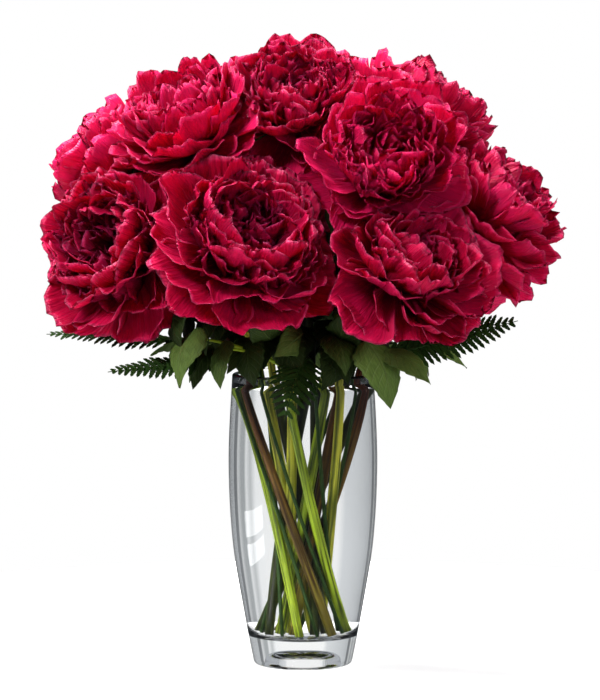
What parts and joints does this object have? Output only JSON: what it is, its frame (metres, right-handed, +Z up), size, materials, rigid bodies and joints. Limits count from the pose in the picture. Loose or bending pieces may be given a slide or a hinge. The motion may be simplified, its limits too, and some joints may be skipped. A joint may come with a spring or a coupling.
{
  "type": "vase of peonies",
  "caption": "Dome of full crimson double peonies with fern and leaves, standing on spiral stems in a heavy clear glass vase with water.",
  "frame": {"origin": "centre of the vase's foot, on the surface it stands on", "axes": "+Z up along the vase's axis, +X to the right of the bunch, the bunch's front faces -Y"},
  "size_m": [0.4058, 0.3034, 0.4883],
  "materials": {
    "glass": "gloss",
    "water": "gloss",
    "petal": "satin",
    "stem": "satin",
    "fern": "satin"
  },
  "bodies": {
    "root": {"vase": "glass", "water": "water", "stem_front_left": "stem", "bloom_front_left": "petal", "stem_front_right": "stem", "bloom_front_right": "petal", "stem_left": "stem", "bloom_left": "petal", "stem_right": "stem", "bloom_right": "petal", "stem_back_right": "stem", "bloom_back_right": "petal", "stem_back_middle": "stem", "bloom_back_middle": "petal", "stem_back_left": "stem", "bloom_back_left": "petal", "stem_top": "stem", "bloom_top": "petal", "stem_upper_right": "stem", "bloom_upper_right": "petal", "stem_upper_left": "stem", "bloom_upper_left": "petal", "stem_far_left": "stem", "bloom_far_left": "petal", "stem_far_right": "stem", "bloom_far_right": "petal", "stem_back_top": "stem", "bloom_back_top": "petal", "fern_right": "fern", "fern_left": "fern", "fern_front_left": "fern", "fern_front": "fern", "fern_back_right": "fern", "fern_back_left": "fern"}
  },
  "joints": []
}
